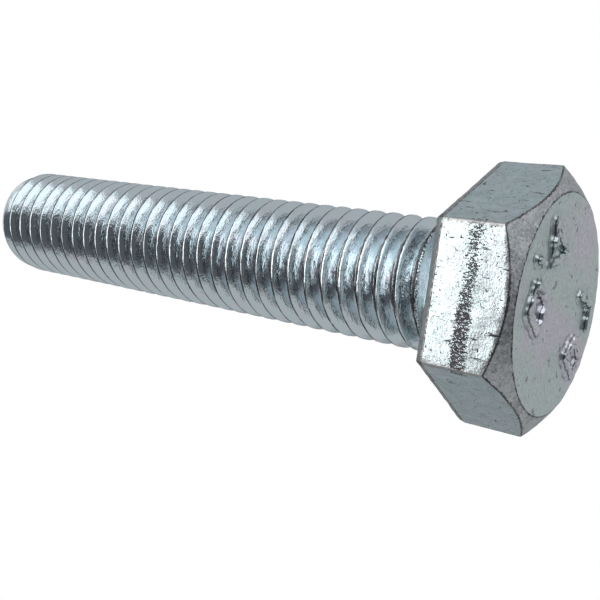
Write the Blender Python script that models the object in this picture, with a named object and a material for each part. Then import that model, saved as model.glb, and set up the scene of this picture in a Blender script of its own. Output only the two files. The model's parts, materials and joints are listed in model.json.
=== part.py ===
"""Hex head screw, M8 x 40, threaded up to the head, bright zinc plated steel.

One solid in metres. The origin is the centre of the head's top face. +X is the
bolt's axis, pointing out through the head, so everything else lies towards -X.
+Z is square to the head flat that faces up.

Each shape is modelled from the centre of the bearing face, under the head. An
empty at that place carries them all.
"""
import math

import bmesh
import bpy

MM = 0.001

# Driving dimensions
THREAD_DIAMETER = 7.9 * MM        # over the crests, inside the 6g limits for M8
THREAD_PITCH = 1.25 * MM
SHANK_LENGTH = 40.2 * MM
ACROSS_FLATS = 13.0 * MM
HEAD_HEIGHT = 4.7 * MM

THREAD_ANGLE = math.radians(60.0)   # between the two flanks of a groove
CREST_WIDTH = THREAD_PITCH / 8
THREAD_DEPTH = 0.6134 * THREAD_PITCH
CREST_START = -2.52 * MM            # a crest's middle, on the +Y side

TIP_RADIUS = 3.4 * MM               # flat end of the shank
TIP_CHAMFER_LENGTH = 1.8 * MM

NECK_RADIUS = 3.68 * MM             # plain stretch between the thread and the head
NECK_LENGTH = 0.9 * MM
NECK_FILLET = 0.35 * MM
RUN_OUT_LENGTH = 1.0 * MM           # over which crests and roots fade into the neck

FACE_RADIUS = 6.1 * MM              # flat circle on top of the head
HEAD_CHAMFER_ANGLE = math.radians(35.0)
BEARING_EDGE_BEVEL = 0.12 * MM      # along the lower edges of the head
CORNER_BEVEL = 0.18 * MM            # along the six upright edges of the head

THREAD_STEPS = 24                   # facets in one turn of the thread
TURNED_STEPS = 48                   # facets in one turn of the plain turned shapes
FILLET_STEPS = 4

# Worked-out dimensions
CREST_RADIUS = THREAD_DIAMETER / 2
ROOT_RADIUS = CREST_RADIUS - THREAD_DEPTH
FLANK_WIDTH = THREAD_DEPTH * math.tan(THREAD_ANGLE / 2)
HEX_RADIUS = ACROSS_FLATS / math.sqrt(3)
CLEARANCE = 0.3 * MM                # by which a guide stands clear of what it keeps
OVERLAP = 0.02 * MM                 # by which joined surfaces pass through each other

ZINC_COLOUR = (0.62, 0.66, 0.68, 1.0)


def clear_scene():
    for thing in list(bpy.data.objects):
        bpy.data.objects.remove(thing)


def on_axis(x, radius, angle):
    """A point at a distance from the bolt's axis, turned from +Y towards +Z."""
    return (x, radius * math.cos(angle), radius * math.sin(angle))


def object_from_bmesh(name, bm):
    bmesh.ops.recalc_face_normals(bm, faces=bm.faces)
    mesh = bpy.data.meshes.new(name)
    bm.to_mesh(mesh)
    bm.free()
    thing = bpy.data.objects.new(name, mesh)
    bpy.context.collection.objects.link(thing)
    return thing


def turned_solid(name, outline):
    """A solid of revolution about X. The outline is (x, radius) pairs, with its
    first and last points closed by flat ends."""
    bm = bmesh.new()
    rings = []
    for x, radius in outline:
        angles = [2 * math.pi * step / TURNED_STEPS for step in range(TURNED_STEPS)]
        rings.append([bm.verts.new(on_axis(x, radius, angle)) for angle in angles])
    for ring, following in zip(rings, rings[1:]):
        for step in range(TURNED_STEPS):
            beside = (step + 1) % TURNED_STEPS
            bm.faces.new((ring[step], ring[beside], following[beside], following[step]))
    bm.faces.new(rings[0])
    bm.faces.new(rings[-1])
    return object_from_bmesh(name, bm)


def thread_outline():
    """One pitch of the thread as (x offset, radius): a crest, a flank, a root.
    The flank that follows the root ends where the next turn's crest starts."""
    crest_end = CREST_WIDTH / 2
    return (
        (-crest_end, CREST_RADIUS),
        (crest_end, CREST_RADIUS),
        (crest_end + FLANK_WIDTH, ROOT_RADIUS),
        (THREAD_PITCH - crest_end - FLANK_WIDTH, ROOT_RADIUS),
    )


def with_run_out(x, radius):
    """The thread's radius at x, faded into the neck's near the head."""
    share = (-NECK_LENGTH - x) / RUN_OUT_LENGTH
    share = min(max(share, 0.0), 1.0)
    return NECK_RADIUS + (radius - NECK_RADIUS) * share


def cap_end(bm, rim, x):
    """Closes an open rim with a fan of triangles from a point on the axis."""
    hub = bm.verts.new((x, 0.0, 0.0))
    for corner, following in zip(rim, rim[1:] + rim[:1]):
        bm.faces.new((hub, corner, following))


def threaded_rod(name):
    """A right-hand threaded rod with a plain neck. It is longer than the shank
    at both ends: past the tip, and up into the head."""
    outline = thread_outline()
    turns = math.ceil((SHANK_LENGTH + CREST_START) / THREAD_PITCH) + 2
    start = CREST_START - turns * THREAD_PITCH
    rows = (turns + 4) * THREAD_STEPS

    bm = bmesh.new()
    points = {}
    for row in range(rows + THREAD_STEPS + 1):
        angle = 2 * math.pi * row / THREAD_STEPS
        advance = start + THREAD_PITCH * row / THREAD_STEPS
        kept = outline if row <= rows else outline[:1]
        for place, (offset, radius) in enumerate(kept):
            x = advance + offset
            points[row, place] = bm.verts.new(on_axis(x, with_run_out(x, radius), angle))
    for row in range(rows + 1):
        points[row, len(outline)] = points[row + THREAD_STEPS, 0]

    for row in range(rows):
        for place in range(len(outline)):
            bm.faces.new((
                points[row, place],
                points[row + 1, place],
                points[row + 1, place + 1],
                points[row, place + 1],
            ))

    first_rim = [points[row, 0] for row in range(THREAD_STEPS + 1)]
    first_rim += [points[0, place] for place in range(len(outline) - 1, 0, -1)]
    cap_end(bm, first_rim, start)
    last_rim = [points[rows + step, 0] for step in range(THREAD_STEPS + 1)]
    last_rim += [points[rows, place] for place in range(len(outline) - 1, 0, -1)]
    cap_end(bm, last_rim, last_rim[0].co.x + THREAD_PITCH)
    return object_from_bmesh(name, bm)


def shank_envelope(name):
    """What the rod is kept inside: the tip's chamfer, and a flat end in the head."""
    outside = CREST_RADIUS + CLEARANCE
    chamfer_slope = (CREST_RADIUS - TIP_RADIUS) / TIP_CHAMFER_LENGTH
    chamfer_end = -SHANK_LENGTH + (outside - TIP_RADIUS) / chamfer_slope
    return turned_solid(name, (
        (-SHANK_LENGTH, TIP_RADIUS),
        (chamfer_end, outside),
        (HEAD_HEIGHT / 2, outside),
    ))


def fillet_collar(name):
    """The fillet that joins the neck to the bearing face, as a short collar."""
    foot = NECK_RADIUS + OVERLAP
    outline = [(-NECK_FILLET - CLEARANCE, NECK_RADIUS - CLEARANCE)]
    for step in range(FILLET_STEPS + 1):
        angle = math.pi / 2 * step / FILLET_STEPS
        x = OVERLAP - NECK_FILLET * (1 - math.sin(angle))
        radius = foot + NECK_FILLET * (1 - math.cos(angle))
        outline.append((x, radius))
    outline.append((HEAD_HEIGHT / 3, NECK_RADIUS))
    return turned_solid(name, outline)


def hexagonal_head(name):
    """A prism with its corners at 0, 60 ... 300 degrees, so two flats face +Z
    and -Z. Its upright edges and the edges of its bearing face are bevelled."""
    bm = bmesh.new()
    rings = []
    for x in (0.0, HEAD_HEIGHT + CLEARANCE):
        angles = [math.pi / 3 * corner for corner in range(6)]
        rings.append([bm.verts.new(on_axis(x, HEX_RADIUS, angle)) for angle in angles])
    for corner in range(6):
        beside = (corner + 1) % 6
        bm.faces.new((rings[0][corner], rings[0][beside], rings[1][beside], rings[1][corner]))
    bm.faces.new(rings[0])
    bm.faces.new(rings[1])
    bmesh.ops.recalc_face_normals(bm, faces=bm.faces)

    upright = [edge for edge in bm.edges if edge.verts[0].co.x != edge.verts[1].co.x]
    bmesh.ops.bevel(bm, geom=upright, offset=CORNER_BEVEL, segments=2, profile=0.5,
                    affect='EDGES', clamp_overlap=True)
    lower = [edge for edge in bm.edges if all(vert.co.x < CLEARANCE for vert in edge.verts)]
    bmesh.ops.bevel(bm, geom=lower, offset=BEARING_EDGE_BEVEL, segments=1, profile=0.5,
                    affect='EDGES', clamp_overlap=True)
    return object_from_bmesh(name, bm)


def head_envelope(name):
    """The cone that chamfers the head's corners down to its round flat face."""
    outside = HEX_RADIUS + CLEARANCE
    cone_length = (outside - FACE_RADIUS) * math.tan(HEAD_CHAMFER_ANGLE)
    return turned_solid(name, (
        (-CLEARANCE, outside),
        (HEAD_HEIGHT - cone_length, outside),
        (HEAD_HEIGHT, FACE_RADIUS),
    ))


def combine(target, tool, operation):
    """Adds an exact Boolean to the target and leaves the tool as a guide."""
    modifier = target.modifiers.new(tool.name, 'BOOLEAN')
    modifier.operation = operation
    modifier.solver = 'EXACT'
    modifier.object = tool
    tool.hide_render = True
    tool.display_type = 'WIRE'


def zinc_plate():
    material = bpy.data.materials.new("zinc_plate")
    material.use_nodes = True
    shader = material.node_tree.nodes["Principled BSDF"]
    shader.inputs["Base Color"].default_value = ZINC_COLOUR
    shader.inputs["Metallic"].default_value = 1.0
    shader.inputs["Roughness"].default_value = 0.3
    material.diffuse_color = ZINC_COLOUR
    return material


def place_under_head(things):
    """Puts the shapes' own origin in the bearing plane, on the bolt's axis."""
    bearing_plane = bpy.data.objects.new("bearing_plane", None)
    bpy.context.collection.objects.link(bearing_plane)
    bearing_plane.location.x = -HEAD_HEIGHT
    for thing in things:
        thing.parent = bearing_plane


def build_bolt():
    head = hexagonal_head("head_guide")
    combine(head, head_envelope("head_envelope"), 'INTERSECT')
    combine(head, fillet_collar("fillet_collar"), 'UNION')

    bolt = threaded_rod("hex_bolt")
    combine(bolt, shank_envelope("shank_envelope"), 'INTERSECT')
    combine(bolt, head, 'UNION')
    bolt.data.materials.append(zinc_plate())


clear_scene()
build_bolt()
place_under_head(list(bpy.data.objects))
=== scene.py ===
"""Looks for the zinc plated hex bolt.

The visible bolt is one fine mesh: a rolled thread with rounded roots, worn crests
and a run-out, joined to a forged head. Mesh code works in millimetres from the
centre of the bearing face, under the head, with +X out through the head. Angles
run from +Y towards +Z. The mesh is put in the frame's place when it is finished.
Shader code works in millimetres too, from the frame's own origin.
"""
import json
import math

import bmesh
import bpy
from mathutils import Matrix, Vector, noise


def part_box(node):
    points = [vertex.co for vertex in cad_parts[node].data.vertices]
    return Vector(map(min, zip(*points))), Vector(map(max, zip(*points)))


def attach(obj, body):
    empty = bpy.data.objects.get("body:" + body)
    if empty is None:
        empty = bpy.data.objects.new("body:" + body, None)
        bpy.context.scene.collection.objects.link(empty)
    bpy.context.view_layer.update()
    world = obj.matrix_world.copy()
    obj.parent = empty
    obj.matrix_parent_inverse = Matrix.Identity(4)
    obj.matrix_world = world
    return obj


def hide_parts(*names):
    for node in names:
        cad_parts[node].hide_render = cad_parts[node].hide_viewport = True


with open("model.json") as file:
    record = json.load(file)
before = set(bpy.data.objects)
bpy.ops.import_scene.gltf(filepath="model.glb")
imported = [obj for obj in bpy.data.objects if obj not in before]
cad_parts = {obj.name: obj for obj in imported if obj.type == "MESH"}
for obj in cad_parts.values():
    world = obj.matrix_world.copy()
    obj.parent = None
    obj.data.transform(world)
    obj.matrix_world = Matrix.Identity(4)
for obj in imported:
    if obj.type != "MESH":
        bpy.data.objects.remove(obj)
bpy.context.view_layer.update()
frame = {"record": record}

MM = 0.001
NODE = "hex_bolt"


def mount_x(name):
    """A mount's place along the bolt's axis, in millimetres in the frame."""
    mounts = {mount["name"]: mount for mount in frame["record"]["mounts"]}
    return mounts[name]["pos_m"][0] / MM


LOW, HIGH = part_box(NODE)
BEARING_X = mount_x("bearing_face")
HEAD_HEIGHT = mount_x("head_top_face") - BEARING_X
SHANK_LENGTH = BEARING_X - mount_x("tip_face")
HALF_FLATS = (HIGH.z - LOW.z) / 2 / MM

ARC_STEPS = 3                       # straight parts in the arc of a rounded edge

# Thread
PITCH = 1.25
CREST_RADIUS = 3.97
THREAD_DEPTH = 0.6134 * PITCH
ROOT_RADIUS = CREST_RADIUS - THREAD_DEPTH
CREST_HALF = 0.095                  # half of a crest's flat width
ROOT_HALF = PITCH / 2 - CREST_HALF - THREAD_DEPTH * math.tan(math.radians(30))
CREST_ROUNDING = 0.045
ROOT_ROUNDING = 0.11
CREST_START = -2.52                 # a crest's middle, on the +Y side
THREAD_STEPS = 96                   # in one turn
FLANK_PARTS = 2
FOLD_DEPTH = 0.03                   # seam that rolling leaves along a crest
FOLD_HALF = 0.03
TORN_START, TORN_END = -2.9, -1.75  # the last turn, whose crest is torn
UNSHADED_FLANK = 0.35                  # an offset with neither the painted shade line nor painted root shade

# Tip and neck
TIP_RADIUS = 3.42
TIP_CHAMFER = 1.7
TIP_CURVE = 1.4                     # 1 would make the chamfer straight, more rounds it
TIP_ROUNDING = 0.15
TIP_SKIN = 0.12                     # what is this close to the end is sheared, not rolled
NECK_RADIUS = 3.68
NECK_FILLET = 0.35
FILLET_STEPS = 6
NECK_GAP = 0.02                     # bridged, between the cut thread and the fillet
FADE_START, FADE_END = -1.9, -0.75  # where the thread runs out into the neck

# Rings of points on the sheared end, as (share of its radius, depth)
TIP_DIMPLE = ((0.9, 0.0), (0.78, 0.01), (0.6, 0.05), (0.4, 0.09), (0.2, 0.11))

# Head
FACE_RADIUS = 6.1
CHAMFER_SLOPE = math.tan(math.radians(35))
CORNER_ROUNDING = 0.13
CORNER_CENTRE = (HALF_FLATS - CORNER_ROUNDING) / math.cos(math.pi / 6)
CORNER_STEPS = 3                    # columns from a corner's middle to its arc's end
EDGE_BEVEL = 0.08                   # radial, along the lower edges
EDGE_BEVEL_LENGTH = 0.34
BEARING_RADIUS = NECK_RADIUS + NECK_FILLET + 0.15
HEAD_STEPS = 2 * THREAD_STEPS
SHARP_ANGLE = math.radians(50)

# Stamped marks, in section across a stroke, by distance from the stroke's middle
MARK_HEIGHT = 0.26
RIDGE_TOP, RIDGE_FOOT = 0.10, 0.34
TRENCH_DEPTH = 0.09
TRENCH_START, TRENCH_MIDDLE, TRENCH_END = 0.24, 0.40, 0.70

# Grid of the top face, as the radii of its rings of points
FACE_STEPS = 2 * HEAD_STEPS
GRID_RADIUS = FACE_RADIUS - 0.3     # its first ring lies just inside this
EVEN_RADIUS = FACE_RADIUS - 1.6     # from here inwards, points are evenly spread
HALVED_RADIUS = 2.2                 # from here inwards, a ring has half the points
QUARTERED_RADIUS = 1.1              # and from here a quarter
RING_SPACING = 0.08
MIDDLE_RADIUS = 1.0                 # within it, the rings are spaced more widely
MIDDLE_SPACING = 0.15

# Distances to the head's edges, for the painted shade along them
FACE_RIM = 0.05                     # so close to its rim, a point counts as on the chamfer
FACE_RIM_GAP = 0.04                 # the face's rim counts as this far off, so it gets less painted shade

THREAD, FLAT, CHAMFER, FACE, BEARING, TIP = range(6)

# The head in section, from the bearing face to the top: the finish of each straight
# stretch, and the parts it is cut into. The roundings are where two stretches meet.
HEAD_STRETCHES = ((BEARING, 6), (CHAMFER, 2), (FLAT, 20), (CHAMFER, 7), (FACE, 1))
HEAD_ROUNDINGS = (0.05, 0.25, 0.07, 0.09)

# What the mesh tells its materials, point by point, in millimetres
FROM_CREST = "from_crest"           # along the axis
FROM_EDGE = "from_edge"             # to the nearest edge of the head
RELIEF = "relief"                   # height of a stamped mark


# ---------------------------------------------------------------- small helpers

def smooth(low, high, value):
    """0 below low, 1 above high, and a smooth step between them."""
    share = min(max((value - low) / (high - low), 0.0), 1.0)
    return share * share * (3 - 2 * share)


def on_axis(x, radius, angle):
    """A point at a distance from the bolt's axis, turned from +Y towards +Z."""
    return Vector((x, radius * math.cos(angle), radius * math.sin(angle)))


def rounded(corners, radii):
    """A 2-D outline whose inner corners are replaced by arcs of equal steps."""
    points = [corners[0]]
    for before, corner, after, radius in zip(corners, corners[1:], corners[2:], radii):
        back = (before - corner).normalized()
        ahead = (after - corner).normalized()
        half = back.angle(ahead) / 2
        reach = radius / math.tan(half)
        centre = corner + (back + ahead).normalized() * (radius / math.sin(half))
        first = corner + back * reach - centre
        last = corner + ahead * reach - centre
        sweep = first.angle(last)
        for step in range(ARC_STEPS + 1):
            share = step / ARC_STEPS
            spoke = first * math.sin((1 - share) * sweep) + last * math.sin(share * sweep)
            points.append(centre + spoke / math.sin(sweep))
    points.append(corners[-1])
    return points


def subdivided(points, counts):
    """The outline with each stretch cut into its own number of equal parts."""
    result = [points[0]]
    for start, end, count in zip(points, points[1:], counts):
        result += [start.lerp(end, (part + 1) / count) for part in range(count)]
    return result


# ---------------------------------------------------------------- threaded shank

def thread_profile():
    """One pitch as (offset, radius) pairs, from one root's middle to the next."""
    half = rounded(
        [
            Vector((-PITCH / 2, ROOT_RADIUS)),
            Vector((-PITCH / 2 + ROOT_HALF, ROOT_RADIUS)),
            Vector((-CREST_HALF, CREST_RADIUS)),
            Vector((-FOLD_HALF, CREST_RADIUS)),
        ],
        [ROOT_ROUNDING, CREST_ROUNDING],
    )
    flat_and_arc = [1] * (1 + ARC_STEPS)
    half = subdivided(half, flat_and_arc + [FLANK_PARTS] + flat_and_arc)
    crest = [Vector((0.0, CREST_RADIUS))]
    mirrored = [Vector((-point.x, point.y)) for point in reversed(half)]
    return half + crest + mirrored[:-1]


def shank_radius(x, radius):
    """The thread's radius, faded to the neck by the head and lowered at the tip."""
    tip_share = (x + SHANK_LENGTH) / TIP_CHAMFER
    if tip_share < 1:
        lowered = max(1 - tip_share, 0) ** TIP_CURVE
        limit = CREST_RADIUS - (CREST_RADIUS - TIP_RADIUS) * lowered
        scale = (limit - ROOT_RADIUS) / THREAD_DEPTH
        radius = ROOT_RADIUS + (radius - ROOT_RADIUS) * scale
    kept = 1 - smooth(FADE_START, FADE_END, x)
    return NECK_RADIUS + (radius - NECK_RADIUS) * kept


def rolled_unevenness(x, angle, radius):
    """How far rolling and handling leave the thread off its ideal form."""
    place = on_axis(x, radius, angle)
    crest = smooth(ROOT_RADIUS, CREST_RADIUS, radius)
    waviness = 0.012 * noise.noise(place * 0.9)
    ripple = (0.006 + 0.02 * smooth(-3.4, -2.2, x)) * noise.noise(place * 4.1)
    nicks = 0.06 * crest * min(noise.noise(place * 2.3 + Vector((9, 0, 0))) + 0.42, 0)
    return waviness + ripple + nicks


def fold_depth(x, angle):
    """How deep the seam on a crest is: in some stretches there is none."""
    place = on_axis(x, CREST_RADIUS, angle)
    return FOLD_DEPTH * smooth(-0.25, 0.35, noise.noise(place * 0.35))


def add_thread(bm):
    """A helical grid over the whole shank, reaching past both of its ends."""
    from_crest = bm.verts.layers.float.new(FROM_CREST)
    profile = thread_profile()
    crest_place = len(profile) // 2
    turns = math.ceil((SHANK_LENGTH + CREST_START) / PITCH) + 1
    start = CREST_START - turns * PITCH
    rows = (turns + 3) * THREAD_STEPS
    points = {}
    for row in range(rows + THREAD_STEPS + 1):
        angle = 2 * math.pi * row / THREAD_STEPS
        advance = start + PITCH * row / THREAD_STEPS
        kept = profile if row <= rows else profile[:1]
        for place, (offset, radius) in enumerate(kept):
            x = advance + offset
            if place == crest_place:
                radius -= fold_depth(x, angle)
            radius += rolled_unevenness(x, angle, radius)
            radius = shank_radius(x, radius)
            vert = bm.verts.new(on_axis(x, radius, angle))
            vert[from_crest] = offset
            points[row, place] = vert
    for row in range(rows + 1):
        points[row, len(profile)] = points[row + THREAD_STEPS, 0]
    for row in range(rows):
        for place in range(len(profile)):
            face = bm.faces.new((
                points[row, place],
                points[row + 1, place],
                points[row + 1, place + 1],
                points[row, place + 1],
            ))
            face.material_index = THREAD


def cut_across(bm, x, side):
    """Cuts the mesh square to the axis and drops what lies beyond on that side."""
    geometry = bm.verts[:] + bm.edges[:] + bm.faces[:]
    cut = bmesh.ops.bisect_plane(
        bm, geom=geometry, dist=1e-5, plane_co=(x, 0, 0), plane_no=(side, 0, 0),
        clear_outer=True,
    )
    return [edge for edge in cut["geom_cut"] if isinstance(edge, bmesh.types.BMEdge)]


def extruded_ring(bm, edges, reshape):
    """Extrudes a rim and moves each new point to where reshape puts it."""
    made = bmesh.ops.extrude_edge_only(bm, edges=edges)["geom"]
    for vert in made:
        if isinstance(vert, bmesh.types.BMVert):
            vert.co = reshape(vert.co)
    return [item for item in made if isinstance(item, bmesh.types.BMEdge)]


def close_tip(bm, edges):
    """The flat end of the shank, with a softened rim and a shallow sheared dimple."""
    start = -SHANK_LENGTH + TIP_ROUNDING
    quarter = math.pi / 2
    previous = 1.0
    for step in range(1, ARC_STEPS + 1):
        turn = quarter * step / ARC_STEPS
        inward = 1 - TIP_ROUNDING * (1 - math.cos(turn)) / TIP_RADIUS
        x = start - TIP_ROUNDING * math.sin(turn)
        scale = inward / previous
        edges = extruded_ring(
            bm, edges, lambda place: Vector((x, place.y * scale, place.z * scale)))
        previous = inward
    end_radius = TIP_RADIUS - TIP_ROUNDING
    for share, depth in TIP_DIMPLE:
        radius = end_radius * share
        x = -SHANK_LENGTH + depth
        edges = extruded_ring(
            bm, edges, lambda place: on_axis(x, radius, math.atan2(place.z, place.y)))
    bmesh.ops.contextual_create(bm, geom=edges)


# ---------------------------------------------------------------- head

def head_angles():
    """Column angles, close together on the rounded corners of the hexagon."""
    arc_end = CORNER_CENTRE + CORNER_ROUNDING * math.cos(math.pi / 6)
    turn = math.atan2(CORNER_ROUNDING / 2, arc_end)
    reach = math.tan(math.pi / 6 - turn)
    straight = HEAD_STEPS // 6 - 2 * CORNER_STEPS
    angles = []
    for side in range(6):
        corner = side * math.pi / 3
        for step in range(CORNER_STEPS):
            angles.append(corner + turn * step / CORNER_STEPS)
        for step in range(straight + 1):
            along = reach * (2 * step / straight - 1)
            angles.append(corner + math.pi / 6 + math.atan(along))
        for step in range(CORNER_STEPS - 1, 0, -1):
            angles.append(corner + math.pi / 3 - turn * step / CORNER_STEPS)
    return angles


def hexagon_radius(angle):
    """The hexagon's outline with rounded corners, as a distance from the axis."""
    off_corner = (angle + math.pi / 6) % (math.pi / 3) - math.pi / 6
    sideways = CORNER_CENTRE * math.sin(off_corner)
    flat = HALF_FLATS / math.cos(math.pi / 6 - abs(off_corner))
    if abs(sideways) >= CORNER_ROUNDING:
        return flat
    arc = CORNER_CENTRE * math.cos(off_corner)
    arc += math.sqrt(CORNER_ROUNDING ** 2 - sideways ** 2)
    return min(flat, arc)


def head_stretches():
    """For the head in section: each stretch's number of parts, and each part's finish."""
    counts = []
    finishes = []
    for finish, parts in HEAD_STRETCHES:
        if counts:
            counts += [1] * ARC_STEPS
            finishes += [CHAMFER] * ARC_STEPS
        counts.append(parts)
        finishes += [finish] * parts
    return counts, finishes


def head_outline(angle, counts):
    """The head in section at one angle, from the bearing face up to the top."""
    outside = hexagon_radius(angle)
    chamfer_start = HEAD_HEIGHT - (outside - FACE_RADIUS) * CHAMFER_SLOPE
    corners = [
        Vector((0.0, BEARING_RADIUS)),
        Vector((0.0, outside - EDGE_BEVEL)),
        Vector((EDGE_BEVEL_LENGTH, outside)),
        Vector((chamfer_start, outside)),
        Vector((HEAD_HEIGHT, FACE_RADIUS)),
        Vector((HEAD_HEIGHT, GRID_RADIUS)),
    ]
    return subdivided(rounded(corners, HEAD_ROUNDINGS), counts)


def ring(bm, x, radius, angles):
    return [bm.verts.new(on_axis(x, radius, angle)) for angle in angles]


def join_rings(bm, first, second, material):
    """Faces between two rings, where one may have twice the other's points."""
    coarse, fine = sorted((first, second), key=len)
    ratio = len(fine) // len(coarse)
    for step in range(len(coarse)):
        beside = (step + 1) % len(coarse)
        steps = [(step * ratio + part) % len(fine) for part in range(ratio + 1)]
        run = [fine[place] for place in steps]
        face = bm.faces.new([coarse[beside], coarse[step]] + run)
        face.material_index = material


def even_angles(count):
    return [2 * math.pi * step / count for step in range(count)]


def add_head(bm):
    """The whole head, from the fillet's outer edge on. Returns its open lower rim."""
    angles = head_angles()
    counts, finishes = head_stretches()
    columns = [head_outline(angle, counts) for angle in angles]
    rings = []
    for level in zip(*columns):
        rings.append([
            bm.verts.new(on_axis(point.x, point.y, angle))
            for point, angle in zip(level, angles)
        ])
    for first, second, finish in zip(rings, rings[1:], finishes):
        join_rings(bm, first, second, finish)
    add_face_grid(bm, rings[-1], angles)
    return rings[0]


def doubled(angles):
    """The angles of a whole turn, with one more halfway from each to the next."""
    result = []
    for start, end in zip(angles, angles[1:] + [angles[0] + 2 * math.pi]):
        result += [start, (start + end) / 2]
    return result


def grid_angles(radius, rim_angles):
    """Where a ring of the top face has its points: like the rim's, and evenly inside."""
    if radius <= QUARTERED_RADIUS:
        return even_angles(FACE_STEPS // 4)
    if radius <= HALVED_RADIUS:
        return even_angles(FACE_STEPS // 2)
    share = smooth(GRID_RADIUS, EVEN_RADIUS, radius)
    spread = zip(rim_angles, even_angles(FACE_STEPS))
    return [uneven + (even - uneven) * share for uneven, even in spread]


def add_face_grid(bm, rim, angles):
    """Closes the top face with rings of points, fine enough for the stamped marks."""
    rim_angles = doubled(angles)
    previous = rim
    radius = GRID_RADIUS
    spacing = RING_SPACING
    while radius > 2 * spacing:
        radius -= spacing
        following = ring(bm, HEAD_HEIGHT, radius, grid_angles(radius, rim_angles))
        join_rings(bm, previous, following, FACE)
        previous = following
        if radius < MIDDLE_RADIUS:
            spacing = MIDDLE_SPACING
    face = bm.faces.new(previous)
    face.material_index = FACE


def add_fillet(bm, head_ring):
    """The fillet from the neck to the bearing face. Returns its open lower rim."""
    from_crest = bm.verts.layers.float[FROM_CREST]
    rings = []
    for step in range(FILLET_STEPS + 1):
        angle = math.pi / 2 * step / FILLET_STEPS
        x = -NECK_FILLET * (1 - math.sin(angle))
        radius = NECK_RADIUS + NECK_FILLET * (1 - math.cos(angle))
        rings.append(ring(bm, x, radius, even_angles(THREAD_STEPS)))
        for vert in rings[-1]:
            # The fillet gets no painted shade.
            vert[from_crest] = UNSHADED_FLANK
    for first, second in zip(rings, rings[1:]):
        join_rings(bm, first, second, THREAD)
    join_rings(bm, rings[-1], head_ring, BEARING)
    return rings[0]


def rim_edges(ring_of_verts):
    """The edges that join a ring's points, one after the other."""
    found = []
    for vert, beside in zip(ring_of_verts, ring_of_verts[1:] + ring_of_verts[:1]):
        found.append(next(edge for edge in vert.link_edges if edge.other_vert(vert) is beside))
    return found


# ---------------------------------------------------------------- stamped marks

def distance_to_stroke(point, start, end):
    """From a point to the nearest point of the line between start and end."""
    along = end - start
    share = (point - start).dot(along) / along.length_squared
    return (point - start - along * min(max(share, 0.0), 1.0)).length


def closed_shape(centre, corners):
    """The strokes of a figure whose corners are given from its centre."""
    points = [Vector(centre) + Vector(corner) for corner in corners]
    return list(zip(points, points[1:] + points[:1]))


def mark_strokes():
    """Plain raised figures on the top face, as (start, end) pairs in Y and Z."""
    triangle = closed_shape(
        (0.15, 3.75), [(-1.05, -0.75), (0.95, -1.05), (-0.1, 1.25)])
    diamond = closed_shape(
        (-3.05, 1.55), [(-0.95, 0.25), (-0.2, -1.3), (0.9, -0.2), (0.25, 1.3)])
    square = closed_shape(
        (1.25, -4.15), [(-1.0, 0.7), (0.35, 1.05), (1.0, -0.6), (-0.3, -1.05)])
    elbow = Vector((4.25, -2.2))
    chevron = [(Vector((3.05, -1.0)), elbow), (elbow, Vector((3.45, -3.4)))]
    dash = [(Vector((-2.4, 3.95)), Vector((-1.9, 3.55)))]
    return triangle + diamond + chevron + square + dash


def mark_height(y, z, strokes):
    """How far the stamped marks stand up from the top face, in a shallow trench."""
    point = Vector((y, z))
    rough = noise.noise(Vector((y, z, 4.0)) * 2.6)
    point += Vector((rough, noise.noise(Vector((z, y, 8.0)) * 2.6))) * 0.13
    nearest = min(distance_to_stroke(point, start, end) for start, end in strokes)
    ridge = 1 - smooth(RIDGE_TOP, RIDGE_FOOT, nearest)
    trench = smooth(TRENCH_START, TRENCH_MIDDLE, nearest)
    trench *= 1 - smooth(TRENCH_MIDDLE, TRENCH_END, nearest)
    lumps = 0.85 + 0.7 * noise.noise(Vector((y, z, 1.0)) * 1.6)
    return MARK_HEIGHT * ridge * lumps - TRENCH_DEPTH * trench


def edge_distance(x, radius, angle):
    """How far a point of the head lies from the nearest edge around its surface."""
    if radius < FACE_RADIUS - FACE_RIM:
        return FACE_RADIUS - radius
    outside = hexagon_radius(angle)
    chamfer_start = HEAD_HEIGHT - (outside - FACE_RADIUS) * CHAMFER_SLOPE
    if x > chamfer_start:
        from_flat = (x - chamfer_start) * math.hypot(1, 1 / CHAMFER_SLOPE)
        from_face = FACE_RIM_GAP + abs(radius - FACE_RADIUS) * math.hypot(1, CHAMFER_SLOPE)
        return min(from_flat, from_face)
    off_middle = angle % (math.pi / 3) - math.pi / 6
    from_corner = HALF_FLATS * (math.tan(math.pi / 6) - math.tan(abs(off_middle)))
    return min(x - EDGE_BEVEL_LENGTH, chamfer_start - x, from_corner - CORNER_ROUNDING)


def forged_unevenness(vert, finishes):
    """How far forging leaves a point of the head off its ideal place."""
    place = vert.co
    move = vert.normal * 0.012 * noise.noise(place * 0.8)
    if CHAMFER in finishes:
        move += vert.normal * 0.025 * noise.noise(place * 1.7)
        move += vert.normal * 0.012 * noise.noise(place * 5.0)
    if FLAT in finishes:
        move += vert.normal * 0.006 * noise.noise(place * 1.8)
    return move


def shape_head(bm):
    """Raises the marks and gives the forged surfaces their small unevenness."""
    bm.normal_update()
    from_edge = bm.verts.layers.float.new(FROM_EDGE)
    relief = bm.verts.layers.float.new(RELIEF)
    strokes = mark_strokes()
    moves = []
    for vert in bm.verts:
        if vert.co.x < 0:
            continue
        place = vert.co
        finishes = {face.material_index for face in vert.link_faces}
        move = forged_unevenness(vert, finishes)
        if FACE in finishes and CHAMFER not in finishes:
            vert[relief] = mark_height(place.y, place.z, strokes)
            move.x += vert[relief]
        radius = math.hypot(place.y, place.z)
        vert[from_edge] = edge_distance(place.x, radius, math.atan2(place.z, place.y))
        moves.append((vert, move))
    for vert, move in moves:
        vert.co += move


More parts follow.
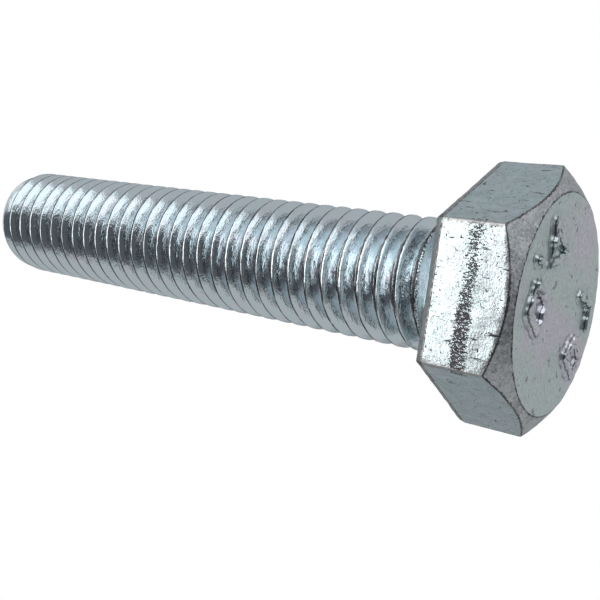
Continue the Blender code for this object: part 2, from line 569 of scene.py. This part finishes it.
def build_bolt_mesh():
    """The whole bolt as one closed mesh, in metres and in the frame's place."""
    bm = bmesh.new()
    add_thread(bm)
    neck_edges = cut_across(bm, -NECK_FILLET - NECK_GAP, 1)
    tip_edges = cut_across(bm, -SHANK_LENGTH + TIP_ROUNDING, -1)
    close_tip(bm, tip_edges)
    neck_edges = [edge for edge in neck_edges if edge.is_valid]
    head_ring = add_head(bm)
    fillet_rim = add_fillet(bm, head_ring)
    bmesh.ops.bridge_loops(bm, edges=neck_edges + rim_edges(fillet_rim))
    bmesh.ops.recalc_face_normals(bm, faces=bm.faces)
    shape_head(bm)
    for face in bm.faces:
        face.smooth = True
        if face.calc_center_median().x < -SHANK_LENGTH + TIP_SKIN:
            face.material_index = TIP
    mesh = bpy.data.meshes.new("bolt_surface")
    bm.to_mesh(mesh)
    bm.free()
    mesh.transform(Matrix.Scale(MM, 4) @ Matrix.Translation((BEARING_X, 0, 0)))
    mesh.set_sharp_from_angle(angle=SHARP_ANGLE)
    return mesh


# ---------------------------------------------------------------- shader helpers

def node(tree, kind, inputs=None, **settings):
    """Adds a shader node. An input is a value, or another node's output."""
    made = tree.nodes.new(kind)
    for name, value in settings.items():
        setattr(made, name, value)
    for name, value in (inputs or {}).items():
        if isinstance(value, bpy.types.NodeSocket):
            tree.links.new(value, made.inputs[name])
        else:
            made.inputs[name].default_value = value
    return made


def object_place(tree, stretch=(1, 1, 1)):
    """Coordinates in millimetres, closer together along a stretched axis."""
    coordinates = node(tree, "ShaderNodeTexCoord").outputs["Object"]
    scale = [factor / MM for factor in stretch]
    mapping = node(tree, "ShaderNodeMapping", {"Vector": coordinates, "Scale": scale})
    return mapping.outputs["Vector"]


def attribute(tree, name):
    """One of the values that the mesh stores at its points."""
    return node(tree, "ShaderNodeAttribute", attribute_name=name).outputs["Fac"]


def grain(tree, place, scale, detail=2.0, roughness=0.5):
    """Noise between 0 and 1, mostly near a half. More detail adds finer noise."""
    made = node(tree, "ShaderNodeTexNoise", {
        "Vector": place, "Scale": scale, "Detail": detail, "Roughness": roughness,
    })
    return made.outputs["Fac"]


def ramp(tree, value, low, high, low_result=0.0, high_result=1.0):
    """A smooth step from one result to the other between two bounds."""
    made = node(tree, "ShaderNodeMapRange", {
        "Value": value, "From Min": low, "From Max": high,
        "To Min": low_result, "To Max": high_result,
    }, interpolation_type='SMOOTHSTEP')
    return made.outputs["Result"]


def math_node(tree, operation, first, second):
    made = tree.nodes.new("ShaderNodeMath")
    made.operation = operation
    for socket, value in zip(made.inputs, (first, second)):
        if isinstance(value, bpy.types.NodeSocket):
            tree.links.new(value, socket)
        else:
            socket.default_value = value
    return made.outputs[0]


def plus(tree, first, second):
    return math_node(tree, 'ADD', first, second)


def minus(tree, first, second):
    return math_node(tree, 'SUBTRACT', first, second)


def times(tree, first, second):
    return math_node(tree, 'MULTIPLY', first, second)


def larger(tree, first, second):
    return math_node(tree, 'MAXIMUM', first, second)


def magnitude(tree, value):
    return math_node(tree, 'ABSOLUTE', value, 0.0)


def between(tree, value, low, high, softness):
    """1 between two bounds, falling softly to 0 outside them."""
    rising = ramp(tree, value, low - softness, low + softness)
    falling = ramp(tree, value, high - softness, high + softness, 1.0, 0.0)
    return times(tree, rising, falling)


def wander(tree, place, scale, reach, detail=2.0):
    """Noise between -reach and reach."""
    return ramp(tree, grain(tree, place, scale, detail), 0.2, 0.8, -reach, reach)


def dot(tree, ray, axis):
    made = node(tree, "ShaderNodeVectorMath", {0: ray, 1: axis}, operation='DOT_PRODUCT')
    return made.outputs["Value"]


def mix_colour(tree, share, first, second):
    """The first colour where the share is 0, and the second where it is 1."""
    made = node(tree, "ShaderNodeMix", data_type='RGBA')
    # The node has sockets for every kind of data. These are its colour ones.
    sockets = (made.inputs[0], made.inputs[6], made.inputs[7])
    for socket, value in zip(sockets, (share, first, second)):
        if isinstance(value, bpy.types.NodeSocket):
            tree.links.new(value, socket)
        elif socket.type == 'RGBA':
            socket.default_value = (*value, 1.0)
        else:
            socket.default_value = value
    return made.outputs[2]


def mottled(tree, tint, noise_value, darkest):
    """The tint, darkened in soft patches down to a share of its value."""
    value = ramp(tree, noise_value, 0.3, 0.7, darkest, 1.0)
    made = node(tree, "ShaderNodeVectorMath", {0: tint}, operation='SCALE')
    tree.links.new(value, made.inputs["Scale"])
    return made.outputs["Vector"]


def bump(tree, height, distance, normal=None):
    """Small relief: a height from 0 to 1 stands for that distance in millimetres."""
    inputs = {"Height": height, "Distance": distance * MM, "Strength": 1.0}
    if normal is not None:
        inputs["Normal"] = normal
    return node(tree, "ShaderNodeBump", inputs).outputs["Normal"]


# ---------------------------------------------------------------- zinc finishes

ZINC = (0.60, 0.70, 0.745)
ZINC_PURPLE = (0.66, 0.66, 0.74)
ZINC_BLUE = (0.635, 0.685, 0.74)
ZINC_GREEN = (0.58, 0.685, 0.69)
ZINC_CYAN = (0.57, 0.705, 0.72)
ZINC_DULL = (0.46, 0.52, 0.55)
CHAMFER_DARK = (0.31, 0.33, 0.345)
CHAMFER_LIGHT = (0.62, 0.65, 0.67)
LOWER_EDGE = (0.33, 0.35, 0.36)
# The lower edge's darker copy for the front side is painted shade
LOWER_EDGE_FRONT_SHADE = (0.15, 0.165, 0.17)
# Painted shade along the edges of the flats and the chamfer
FLAT_EDGE_SHADE = (0.40, 0.41, 0.41)
CHAMFER_EDGE_SHADE = (0.07, 0.07, 0.075)
# Painted shade around the marks and along the face's rim, also the colour of the pits
FACE_SHADE_AND_PITS = (0.12, 0.13, 0.14)
SCRATCH = (0.05, 0.05, 0.055)
# Painted shade in the grooves and beside the crests, also the dark of the torn last crest
SHADE_AND_TORN_METAL = (0.045, 0.05, 0.055)

SHADE_LINE_START, SHADE_LINE_END = -0.23, -0.02  # offsets from a crest's middle, on its tip side, of the painted shade line
ROOT_SHADE = 0.53                     # offset from which a groove gets painted shade
STREAK_X = BEARING_X + 2.3            # of the painted dark streak across the front flat
FRONT_FLAT = math.radians(150)       # the direction in which that flat faces


def metal(name):
    """An empty metallic material, with its node tree and its shader."""
    material = bpy.data.materials.new(name)
    material.use_nodes = True
    tree = material.node_tree
    shader = tree.nodes["Principled BSDF"]
    shader.inputs["Metallic"].default_value = 1.0
    return material, tree, shader


def finish_metal(tree, shader, colour, roughness, normal):
    tree.links.new(colour, shader.inputs["Base Color"])
    tree.links.new(roughness, shader.inputs["Roughness"])
    tree.links.new(normal, shader.inputs["Normal"])


def thread_metal():
    """Bright rolled flanks with fine drag lines, and painted shade: a dark line beside each
    crest and in the roots.
    """
    material, tree, shader = metal("rolled_zinc")
    place = object_place(tree)
    blue = ramp(tree, grain(tree, place, 0.9), 0.45, 0.7)
    tint = mix_colour(tree, blue, ZINC, ZINC_BLUE)
    along = node(tree, "ShaderNodeSeparateXYZ", {"Vector": place}).outputs["X"]
    offset = plus(tree, attribute(tree, FROM_CREST), wander(tree, place, 2.5, 0.03))
    # Painted shade: a dark line beside each crest, where the crest's fold shades the flank.
    shade_line = crest_shade_line(tree, place, along, offset)
    torn = torn_crest(tree, place, along, offset)
    # Painted shade in the roots of the grooves.
    root = ramp(tree, magnitude(tree, offset), ROOT_SHADE, ROOT_SHADE + 0.05, 0.0, 0.85)
    dark = larger(tree, larger(tree, shade_line, torn), root)
    # The painted shade and the torn crest share one dark colour.
    tint = mix_colour(tree, dark, tint, SHADE_AND_TORN_METAL)
    rough = ramp(tree, grain(tree, place, 1.3, 3), 0.3, 0.7, 0.07, 0.13)
    streaks = object_place(tree, (12, 1.7, 1.7))
    coarse = bump(tree, grain(tree, place, 2.6, 1), 0.009)
    drag = bump(tree, grain(tree, streaks, 1.0, 3, 0.6), 0.024, coarse)
    fine = bump(tree, grain(tree, place, 9, 2), 0.008, drag)
    ragged = bump(tree, torn, 0.08, fine)
    finish_metal(tree, shader, tint, rough, ragged)
    return material


def crest_shade_line(tree, place, along, offset):
    """A mask for the painted shade line beside each crest. It shifts slightly along the bolt.
    """
    shift = ramp(tree, along, -32.0, -8.0, -0.03, -0.01)
    shade_line = between(tree, plus(tree, offset, shift), SHADE_LINE_START, SHADE_LINE_END, 0.015)
    return times(tree, shade_line, ramp(tree, grain(tree, place, 1.1), 0.35, 0.55, 0.8, 1.0))


def torn_crest(tree, place, along, offset):
    """A mask for the ragged metal on the last crest, next to the neck."""
    last_turn = between(tree, along, BEARING_X + TORN_START, BEARING_X + TORN_END, 0.15)
    crest = between(tree, offset, -0.40, 0.12, 0.05)
    torn = ramp(tree, grain(tree, place, 10, 3, 0.6), 0.47, 0.55)
    return times(tree, times(tree, last_turn, crest), torn)


def scratch_grain(tree, along_axis, scale):
    """Noise drawn out along the bolt's axis or across it. Its low spots are scratches."""
    stretch = (0.16, 1, 1) if along_axis else (1, 0.3, 0.3)
    return grain(tree, object_place(tree, stretch), scale, 3, 0.6)


def scratch_lines(tree, along_axis, scale, low, high):
    """Short dark scratches: 1 on clean metal, 0 in a scratch."""
    return ramp(tree, scratch_grain(tree, along_axis, scale), low, high)


def hairlines(tree, place, scale, sparse):
    """Thin curved scratches: 1 on clean metal, 0 in a line. More sparse leaves fewer."""
    off = minus(tree, grain(tree, place, scale, 1), 0.5)
    line = ramp(tree, magnitude(tree, off), 0.006, 0.014, 1.0, 0.0)
    kept = ramp(tree, grain(tree, place, 1.7 * scale, 2), sparse, sparse + 0.04)
    return minus(tree, 1.0, times(tree, line, kept))


def front_side(tree, place):
    """1 on the flat that carries the painted dark streak, 0 on the others."""
    outward = dot(tree, place, on_axis(0, 1, FRONT_FLAT))
    return ramp(tree, outward, HALF_FLATS - 0.5, HALF_FLATS - 0.3)


def painted_front_streak(tree, place):
    """A mask for the painted dark streak across the front flat, fuller below: dark flecks that
    stand in for the dark reflection of a low bump.
    """
    axes = node(tree, "ShaderNodeSeparateXYZ", {"Vector": place})
    along = plus(tree, axes.outputs["X"], wander(tree, place, 0.8, 0.12))
    off = magnitude(tree, minus(tree, along, STREAK_X))
    band = ramp(tree, off, 0.1, 0.75, 1.0, 0.0)
    fuller = ramp(tree, axes.outputs["Z"], 0.0, HALF_FLATS, 1.0, 0.62)
    return times(tree, times(tree, band, front_side(tree, place)), fuller)


def flat_clean(tree, place):
    """For a wrench flat: 1 on clean metal, 0 in its scratches and in the painted dark streak.
    """
    scratches = scratch_lines(tree, True, 5.0, 0.315, 0.35)
    nicks = scratch_lines(tree, False, 7.0, 0.275, 0.31)
    scraped = times(tree, nicks, hairlines(tree, place, 1.5, 0.56))
    dashes = grain(tree, object_place(tree, (0.45, 1, 1)), 11, 1)
    specks = grain(tree, place, 17, 1)
    flecks = plus(tree, times(tree, dashes, 0.5), times(tree, specks, 0.5))
    # Painted reflection: more dark flecks along the streak across the front flat.
    limit = ramp(tree, painted_front_streak(tree, place), 0.0, 1.0, 0.345, 0.545)
    clear = ramp(tree, minus(tree, flecks, limit), -0.02, 0.03)
    return times(tree, times(tree, scratches, scraped), clear)


def flat_metal():
    """Wrench flats: satin, scratched, one with a painted dark streak, and with painted shade
    along their rougher edges.
    """
    material, tree, shader = metal("forged_flat_zinc")
    place = object_place(tree)
    cyan = ramp(tree, grain(tree, place, 0.5), 0.35, 0.65)
    tint = mix_colour(tree, cyan, ZINC, ZINC_CYAN)
    tint = mottled(tree, tint, grain(tree, place, 1.6, 6, 0.75), 0.76)
    clean = flat_clean(tree, place)
    tint = mix_colour(tree, clean, SCRATCH, tint)
    rim = plus(tree, attribute(tree, FROM_EDGE), wander(tree, place, 4, 0.13, 4))
    # Painted shade along the flat's edges, which are also rougher.
    edge_shade = ramp(tree, rim, -0.03, 0.03, 0.85, 0.0)
    tint = mix_colour(tree, edge_shade, tint, FLAT_EDGE_SHADE)
    rough = ramp(tree, grain(tree, place, 2.0, 3), 0.3, 0.7, 0.17, 0.26)
    rough = plus(tree, rough, times(tree, edge_shade, 0.2))
    coarse = bump(tree, grain(tree, object_place(tree, (0.3, 1, 1)), 3, 3), 0.014)
    fine = bump(tree, grain(tree, place, 9, 2), 0.006, coarse)
    dents = bump(tree, clean, 0.015, fine)
    finish_metal(tree, shader, tint, rough, dents)
    return material


def chamfer_metal():
    """Chamfer and lower edge: dull, neutral grey and mottled, with painted shade along its
    edges and on the lower edge's front side.
    """
    material, tree, shader = metal("rough_chamfer_zinc")
    place = object_place(tree)
    fine_mottle = times(tree, grain(tree, place, 6, 4, 0.75), 0.75)
    broad_mottle = times(tree, grain(tree, place, 0.9, 2), 0.25)
    mottle = ramp(tree, plus(tree, fine_mottle, broad_mottle), 0.37, 0.63)
    tint = mix_colour(tree, mottle, CHAMFER_DARK, CHAMFER_LIGHT)
    from_edge = attribute(tree, FROM_EDGE)
    lower = ramp(tree, from_edge, -0.07, -0.02, 1.0, 0.0)
    # Painted shade: the lower edge is darker on the front side.
    lower_tint = mix_colour(tree, front_side(tree, place), LOWER_EDGE, LOWER_EDGE_FRONT_SHADE)
    tint = mix_colour(tree, lower, tint, lower_tint)
    # Painted shade along the chamfer's edges.
    rim = between(tree, plus(tree, from_edge, wander(tree, place, 5, 0.06)), -0.03, 0.09, 0.03)
    edge_shade = times(tree, rim, ramp(tree, grain(tree, place, 1.2), 0.3, 0.55, 0.55, 0.95))
    tint = mix_colour(tree, edge_shade, tint, CHAMFER_EDGE_SHADE)
    rough = ramp(tree, grain(tree, place, 3, 3), 0.3, 0.7, 0.36, 0.55)
    coarse = bump(tree, grain(tree, place, 3.5, 4, 0.65), 0.035)
    finish_metal(tree, shader, tint, rough, coarse)
    return material


def face_clean(tree, place):
    """For the top face: 1 on clean metal, 0 in its flecks, spots and hairlines."""
    sparse = ramp(tree, grain(tree, place, 0.45, 2), 0.40, 0.56, 0.0, 0.07)
    flecks = plus(tree, scratch_grain(tree, False, 3.0), sparse)
    spots = plus(tree, grain(tree, place, 4, 2, 0.6), sparse)
    clean = times(tree, ramp(tree, flecks, 0.325, 0.35), ramp(tree, spots, 0.285, 0.31))
    return times(tree, clean, hairlines(tree, place, 1.1, 0.60))


def face_metal():
    """Forged top face: satin, faintly iridescent, pitted, shiny on the marks, with painted
    shade around the marks and along the rim.
    """
    material, tree, shader = metal("stamped_face_zinc")
    place = object_place(tree)
    purple = ramp(tree, grain(tree, place, 0.2), 0.44, 0.62)
    tint = mix_colour(tree, purple, ZINC_GREEN, ZINC_PURPLE)
    tint = mottled(tree, tint, grain(tree, place, 5, 5, 0.75), 0.70)
    clean = face_clean(tree, place)
    relief = attribute(tree, RELIEF)
    # Painted shade on the steep sides of the marks.
    flank = between(tree, plus(tree, relief, wander(tree, place, 5, 0.03)), 0.05, 0.12, 0.015)
    # Painted shade along the face's rim.
    rim = plus(tree, attribute(tree, FROM_EDGE), wander(tree, place, 3.2, 0.13, 4))
    edge = times(tree, ramp(tree, rim, 0.0, 0.09, 0.7, 0.0),
                 ramp(tree, grain(tree, place, 0.8), 0.42, 0.60))
    dark = larger(tree, times(tree, flank, 0.9), edge)
    dark = larger(tree, dark, ramp(tree, clean, 0, 1, 0.7, 0.0))
    # The painted shade and the pits, spots and hairlines share one dark colour.
    tint = mix_colour(tree, dark, tint, FACE_SHADE_AND_PITS)
    marked = ramp(tree, relief, 0.05, 0.09)
    rough = ramp(tree, grain(tree, place, 1.5, 3), 0.3, 0.7, 0.28, 0.38)
    rough = minus(tree, rough, times(tree, marked, 0.16))
    coarse = bump(tree, grain(tree, place, 4, 3), 0.008)
    dents = bump(tree, clean, 0.04, coarse)
    finish_metal(tree, shader, tint, rough, dents)
    return material


def bearing_metal():
    """Bearing face: plain satin zinc."""
    material, tree, shader = metal("bearing_zinc")
    place = object_place(tree)
    green = ramp(tree, grain(tree, place, 0.5), 0.35, 0.65)
    tint = mix_colour(tree, green, ZINC, ZINC_GREEN)
    rough = ramp(tree, grain(tree, place, 2.0, 3), 0.3, 0.7, 0.22, 0.34)
    coarse = bump(tree, grain(tree, place, 4, 3), 0.008)
    finish_metal(tree, shader, tint, rough, coarse)
    return material


def tip_metal():
    """End of the shank: sheared across, duller than the thread."""
    material, tree, shader = metal("sheared_tip_zinc")
    place = object_place(tree)
    across = object_place(tree, (1, 0.2, 1))
    sheared = ramp(tree, grain(tree, place, 4, 5, 0.7), 0.3, 0.7)
    tint = mix_colour(tree, sheared, ZINC_DULL, ZINC)
    rough = ramp(tree, grain(tree, place, 3.0, 3), 0.3, 0.7, 0.30, 0.42)
    coarse = bump(tree, grain(tree, across, 4, 3), 0.02)
    finish_metal(tree, shader, tint, rough, coarse)
    return material


# ---------------------------------------------------------------- studio

ROLL = math.radians(16.9)           # the studio's level, seen from the bolt's own frame

# Brightness of the surroundings
WHITE = (1.0, 1.0, 1.0)
WALL = (0.57, 0.57, 0.58)
TABLE = (0.58, 0.58, 0.58)
TABLE_SHADE = (0.38, 0.39, 0.40)
FAR_WALL = (0.475, 0.485, 0.50)
FAR_WALL_TOP = (0.52, 0.53, 0.55)
CEILING = (1.05, 1.06, 1.08)
BEFORE_HEAD = (0.30, 0.31, 0.32)
DARK_ROOM = (0.115, 0.12, 0.13)
DARK_SIDE = (0.155, 0.125, 0.13)
HIGH_PANEL = (1.40, 1.42, 1.44)
KEY_PANEL = (2.7, 2.56, 2.5)
KEY_PANEL_END = (0.95, 0.94, 0.94)
UPPER_PANEL = (1.3, 1.32, 1.35)

FLOOR_COLOUR = (0.8, 0.8, 0.8, 1.0)
FLOOR_REACH = 0.3                   # metres, from its middle
FLOOR_GAP = 0.02                    # below the bolt

# The camera's place and directions, from the centre of the bearing face
CAMERA_PLACE = Vector((20.8, -39.24, 25.0))
CAMERA_AHEAD = Vector((-0.5787, 0.6648, -0.4724))
CAMERA_UP = Vector((-0.155, 0.479, 0.864))
SENSOR_WIDTH = 36.0
FOCAL_LENGTH = 52.66


def studio_axis(azimuth):
    """A level direction in the studio. Azimuth runs from +X towards +Y."""
    angle = math.radians(azimuth)
    level = Vector((math.cos(angle), math.sin(angle), 0.0))
    return Matrix.Rotation(-ROLL, 3, 'X') @ level


def studio_up():
    return Matrix.Rotation(-ROLL, 3, 'X') @ Vector((0.0, 0.0, 1.0))


def patch(tree, ray, left, right, low, high, softness):
    """A mask for a rectangle of the surroundings, from azimuths left to right and
    elevations low to high, all in degrees."""
    middle = (left + right) / 2
    forward = dot(tree, ray, studio_axis(middle))
    sideways = dot(tree, ray, studio_axis(middle + 90))
    azimuth = math_node(tree, 'ARCTAN2', sideways, forward)
    elevation = math_node(tree, 'ARCSINE', dot(tree, ray, studio_up()), 0.0)
    half = math.radians(right - left) / 2
    soft = math.radians(softness)
    across = between(tree, azimuth, -half, half, soft)
    upward = between(tree, elevation, math.radians(low), math.radians(high), soft)
    return times(tree, across, upward)


def leaning_side(tree, ray, foot, top, softness):
    """1 to the left of the great circle through two (azimuth, elevation) points."""
    first, second = (
        studio_axis(azimuth) * math.cos(math.radians(elevation))
        + studio_up() * math.sin(math.radians(elevation))
        for azimuth, elevation in (foot, top)
    )
    axis = first.cross(second).normalized()
    soft = math.radians(softness)
    return ramp(tree, dot(tree, ray, axis), -soft, soft)


def studio_light(tree, ray):
    """The surroundings' colour in a direction. A later patch covers earlier ones."""
    light = mix_colour(tree, patch(tree, ray, -180, 180, -95, -3, 2), WALL, TABLE)
    light = mix_colour(tree, patch(tree, ray, 60, 200, -95, -40, 12), light, TABLE_SHADE)
    light = mix_colour(tree, patch(tree, ray, 84, 165, -3, 70, 6), light, FAR_WALL)
    light = mix_colour(tree, patch(tree, ray, 90, 225, 50, 73, 5), light, FAR_WALL_TOP)
    light = mix_colour(tree, patch(tree, ray, -180, 180, 76, 95, 5), light, CEILING)
    light = mix_colour(tree, patch(tree, ray, -30, 28, -26, 24, 4), light, BEFORE_HEAD)
    light = mix_colour(tree, patch(tree, ray, -110, -4, -25, 25, 4), light, DARK_ROOM)
    light = mix_colour(tree, patch(tree, ray, -40, 22, -25, -14, 4), light, DARK_ROOM)
    light = mix_colour(tree, patch(tree, ray, -45, 22, 25, 62, 3), light, HIGH_PANEL)
    light = mix_colour(tree, patch(tree, ray, -200, -92, -40, 45, 5), light, DARK_SIDE)
    beside = leaning_side(tree, ray, (-116, 0), (-102, 45), 2)
    key = times(tree, patch(tree, ray, -180, -80, -14, 50, 3), beside)
    light = mix_colour(tree, key, light, KEY_PANEL)
    light = mix_colour(tree, patch(tree, ray, -200, -142, -20, 40, 5), light, KEY_PANEL_END)
    above = times(tree, patch(tree, ray, -150, -80, 50, 78, 4), beside)
    return mix_colour(tree, above, light, UPPER_PANEL)


def studio_world():
    """Soft panels and a grey table, as the metal reflects them. The camera sees white."""
    world = bpy.data.worlds.new("studio")
    bpy.context.scene.world = world
    world.use_nodes = True
    tree = world.node_tree
    tree.nodes.clear()
    ray = node(tree, "ShaderNodeTexCoord").outputs["Generated"]
    camera = node(tree, "ShaderNodeLightPath").outputs["Is Camera Ray"]
    seen = mix_colour(tree, camera, studio_light(tree, ray), WHITE)
    background = node(tree, "ShaderNodeBackground", {"Color": seen, "Strength": 1.0})
    output = node(tree, "ShaderNodeOutputWorld")
    tree.links.new(background.outputs["Background"], output.inputs["Surface"])


def floor_mesh():
    """A square just under the head's lower edge and the first full crest at the tip."""
    front = Vector((BEARING_X + EDGE_BEVEL_LENGTH, 0, -HALF_FLATS)) * MM
    tip_x = BEARING_X - SHANK_LENGTH + TIP_CHAMFER
    back = Vector((tip_x, 0, -CREST_RADIUS)) * MM
    along = (front - back).normalized()
    across = Vector((0, 1, 0))
    middle = (front + back) / 2 - Vector((0, 0, FLOOR_GAP * MM))
    corners = [middle + along * FLOOR_REACH * a + across * FLOOR_REACH * b
               for a, b in ((-1, -1), (1, -1), (1, 1), (-1, 1))]
    mesh = bpy.data.meshes.new("floor")
    mesh.from_pydata(corners, [], [(0, 1, 2, 3)])
    return mesh


def add_floor():
    """A pale floor under the bolt. Neither the camera nor the metal's reflections show
    it: it only keeps a little of the studio's light off the underside."""
    floor = bpy.data.objects.new("floor", floor_mesh())
    bpy.context.scene.collection.objects.link(floor)
    material = bpy.data.materials.new("pale_floor")
    material.use_nodes = True
    shader = material.node_tree.nodes["Principled BSDF"]
    shader.inputs["Base Color"].default_value = FLOOR_COLOUR
    shader.inputs["Roughness"].default_value = 1.0
    floor.data.materials.append(material)
    floor.visible_glossy = False
    floor.visible_camera = False


def add_camera():
    """Looks along the bolt from the head's side, and a little down on it."""
    lens = bpy.data.cameras.new("camera")
    lens.sensor_width = SENSOR_WIDTH
    lens.lens = FOCAL_LENGTH
    lens.clip_start = 0.001
    lens.clip_end = 10.0
    camera = bpy.data.objects.new("camera", lens)
    bpy.context.scene.collection.objects.link(camera)
    place = CAMERA_PLACE.copy()
    place.x += BEARING_X
    ahead = CAMERA_AHEAD.normalized()
    right = ahead.cross(CAMERA_UP).normalized()
    up = right.cross(ahead)
    turn = Matrix((right, up, -ahead)).transposed().to_4x4()
    camera.matrix_world = Matrix.Translation(place * MM) @ turn
    bpy.context.scene.camera = camera


bolt = bpy.data.objects.new("bolt_surface", build_bolt_mesh())
bpy.context.scene.collection.objects.link(bolt)
for make in (thread_metal, flat_metal, chamfer_metal, face_metal, bearing_metal, tip_metal):
    bolt.data.materials.append(make())
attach(bolt, "root")
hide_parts(NODE)

studio_world()
add_floor()
add_camera()
bpy.context.scene.view_settings.view_transform = 'Standard'
